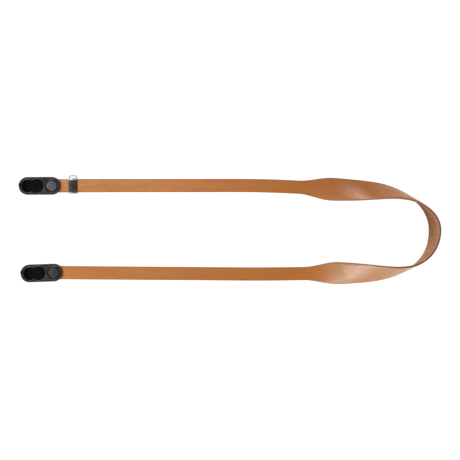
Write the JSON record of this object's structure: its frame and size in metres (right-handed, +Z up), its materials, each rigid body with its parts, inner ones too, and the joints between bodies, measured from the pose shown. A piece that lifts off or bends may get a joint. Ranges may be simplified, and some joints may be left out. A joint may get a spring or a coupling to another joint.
{
  "type": "camera neck strap",
  "caption": "Tan leather camera neck strap lying on a surface: narrow legs, a wide shoulder part that rises on edge round the bend, a quick-release connector at each end and a keeper clip.",
  "frame": {"origin": "under the middle of the bounding box, on the surface that the strap lies on", "axes": "+X along the legs towards the bend, +Y towards the leg with the keeper, +Z up out of the surface"},
  "size_m": [0.4467, 0.1158, 0.0271],
  "materials": {
    "leather": "tan vegetable-tanned leather, smooth grain side, fibrous flesh side, dark painted edges",
    "housing": "black glass-filled nylon, fine satin grain",
    "cap_upper": "satin dark grey",
    "cap_lower": "satin dark grey, a shade darker",
    "wire": "polished stainless wire",
    "plate": "dark gunmetal, brushed, bare of any mark"
  },
  "bodies": {
    "root": {"strap": "leather", "housing_upper": "housing", "housing_lower": "housing", "cap_upper": "cap_upper", "cap_lower": "cap_lower", "keeper_frame": "wire", "keeper_plate": "plate"}
  },
  "joints": []
}
